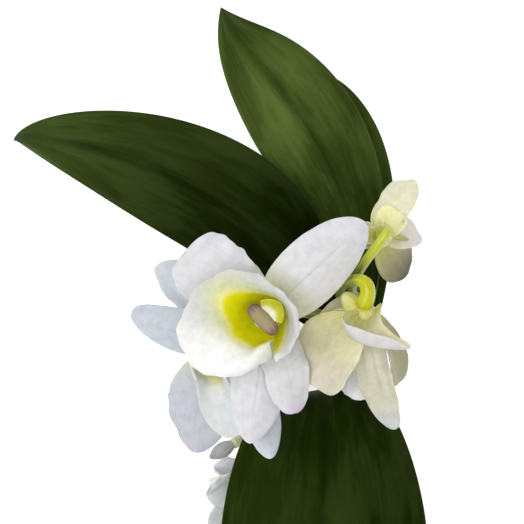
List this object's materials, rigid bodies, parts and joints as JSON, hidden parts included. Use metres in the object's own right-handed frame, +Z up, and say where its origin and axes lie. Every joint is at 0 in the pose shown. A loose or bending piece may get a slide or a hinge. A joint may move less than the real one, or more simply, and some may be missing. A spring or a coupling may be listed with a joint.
{
  "type": "cut flowering orchid stem",
  "caption": "Cut cane of a white dendrobium orchid with a yellow throat, laid flat with its broad leaves and open flowers turned upwards.",
  "frame": {"origin": "middle of the part's bounding box, on the surface it lies on", "axes": "+Z up, away from the surface; +Y along the cane towards its growing tip; +X to the right"},
  "size_m": [0.128, 0.2304, 0.0766],
  "materials": {
    "cane": "matte green skin",
    "leaf": "semi-gloss leathery leaf",
    "petal": "satin petal",
    "lip": "satin petal",
    "column": "satin",
    "stalk": "satin green skin"
  },
  "bodies": {
    "root": {"cane": "cane", "leaf_left": "leaf", "leaf_top": "leaf", "leaf_right": "leaf", "leaf_lower": "leaf", "flower_front_tepals": "petal", "flower_front_lip": "lip", "flower_front_column": "column", "flower_front_stalk": "stalk", "flower_below_tepals": "petal", "flower_below_lip": "lip", "flower_below_column": "column", "flower_below_stalk": "stalk", "flower_right_tepals": "petal", "flower_right_lip": "lip", "flower_right_column": "column", "flower_right_stalk": "stalk", "flower_upper_tepals": "petal", "flower_upper_lip": "lip", "flower_upper_column": "column", "flower_upper_stalk": "stalk", "flower_side_tepals": "petal", "flower_side_lip": "lip", "flower_side_column": "column", "flower_side_stalk": "stalk", "bud": "petal", "bud_stalk": "stalk"}
  },
  "joints": []
}
